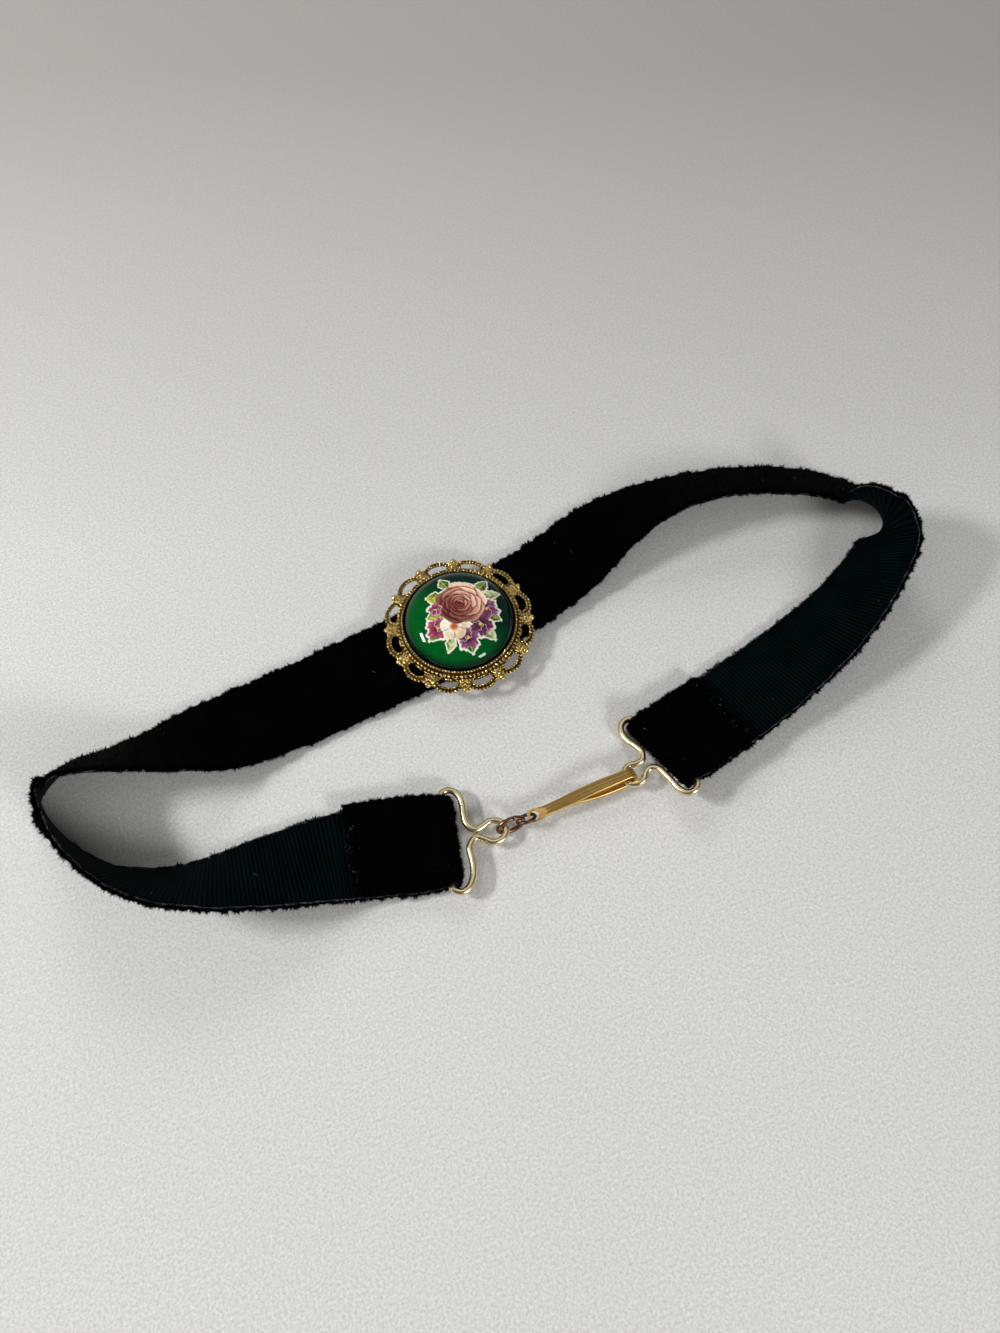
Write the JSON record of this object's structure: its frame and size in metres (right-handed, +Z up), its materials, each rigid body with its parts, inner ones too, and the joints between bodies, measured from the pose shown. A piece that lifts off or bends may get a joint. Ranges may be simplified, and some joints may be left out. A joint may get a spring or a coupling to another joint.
{
  "type": "choker necklace",
  "caption": "Velvet choker band laid in a long loop and fastened, with a round lace-edged cabochon brooch and a hook and ring clasp between bent wire ends.",
  "frame": {"origin": "on the surface that the necklace lies on, under the middle of its box", "axes": "+X along the loop's length, towards the turn on the hook's side; +Y from the clasp towards the brooch; +Z up"},
  "size_m": [0.1654, 0.065, 0.016],
  "materials": {
    "velvet": "deep black pile outside, ribbed black-teal backing inside",
    "pale_gold": "bright pale gold plate, lightly worn",
    "antique_copper": "tarnished copper-brown",
    "leaf_gold": "yellow gold plate, satin, darker in its grooves",
    "antique_brass": "antiqued cast brass, bright on its beads and dark in its hollows",
    "green_stone": "glossy deep green dome with a printed bouquet"
  },
  "bodies": {
    "root": {"velvet_band": "velvet", "wire_end_left": "pale_gold", "wire_end_right": "pale_gold", "jump_ring_large": "antique_copper", "jump_ring_small": "antique_copper", "clasp_hook": "leaf_gold", "brooch_setting": "antique_brass", "brooch_back_bar": "antique_brass", "cabochon": "green_stone"}
  },
  "joints": []
}
